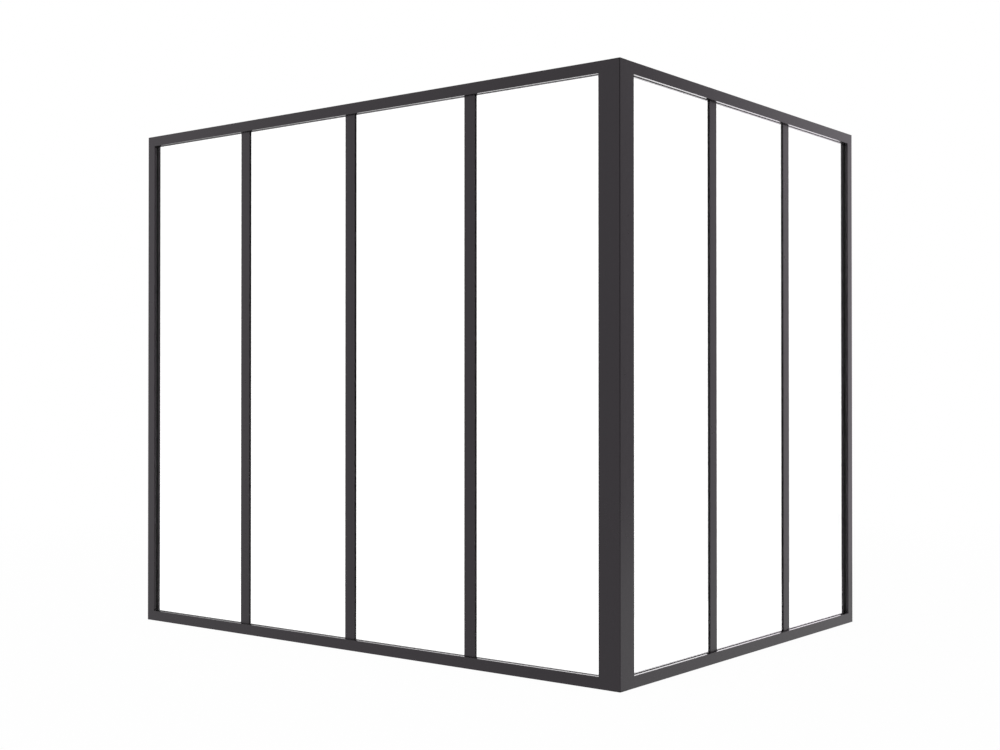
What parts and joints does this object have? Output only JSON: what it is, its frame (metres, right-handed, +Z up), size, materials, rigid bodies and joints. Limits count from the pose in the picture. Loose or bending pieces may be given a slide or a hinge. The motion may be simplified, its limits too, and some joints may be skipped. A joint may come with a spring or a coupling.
{
  "type": "corner glass partition",
  "caption": "Workshop-style interior glass partition in an L: two fixed glazed wings of slim dark aluminium bars on a square corner post.",
  "frame": {"origin": "on the corner post's axis at floor level, in the middle of its foot", "axes": "+Z up, the left wing runs along -X from the post, the right wing along +Y; the outer faces look to -Y and +X"},
  "size_m": [1.2515, 0.9481, 1.08],
  "materials": {
    "satin_coat": "satin near-black powder coat",
    "clear_glass": "clear, polished",
    "glazing_seal": "matt black",
    "black_plastic": "fine-grained black"
  },
  "bodies": {
    "root": {"left_bottom_rail": "satin_coat", "left_top_rail": "satin_coat", "left_corner_stile": "satin_coat", "left_end_stile": "satin_coat", "left_mullion_1": "satin_coat", "left_mullion_2": "satin_coat", "left_mullion_3": "satin_coat", "left_glass_1": "clear_glass", "left_glass_2": "clear_glass", "left_glass_3": "clear_glass", "left_glass_4": "clear_glass", "left_corner_seal": "glazing_seal", "left_end_seal": "glazing_seal", "left_bottom_seal_1": "glazing_seal", "left_bottom_seal_2": "glazing_seal", "left_bottom_seal_3": "glazing_seal", "left_bottom_seal_4": "glazing_seal", "left_top_seal_1": "glazing_seal", "left_top_seal_2": "glazing_seal", "left_top_seal_3": "glazing_seal", "left_top_seal_4": "glazing_seal", "right_bottom_rail": "satin_coat", "right_top_rail": "satin_coat", "right_corner_stile": "satin_coat", "right_end_stile": "satin_coat", "right_mullion_1": "satin_coat", "right_mullion_2": "satin_coat", "right_glass_1": "clear_glass", "right_glass_2": "clear_glass", "right_glass_3": "clear_glass", "right_corner_seal": "glazing_seal", "right_end_seal": "glazing_seal", "right_bottom_seal_1": "glazing_seal", "right_bottom_seal_2": "glazing_seal", "right_bottom_seal_3": "glazing_seal", "right_top_seal_1": "glazing_seal", "right_top_seal_2": "glazing_seal", "right_top_seal_3": "glazing_seal", "corner_post": "satin_coat", "corner_post_foot_plug": "black_plastic", "corner_post_top_plug": "black_plastic"}
  },
  "joints": []
}
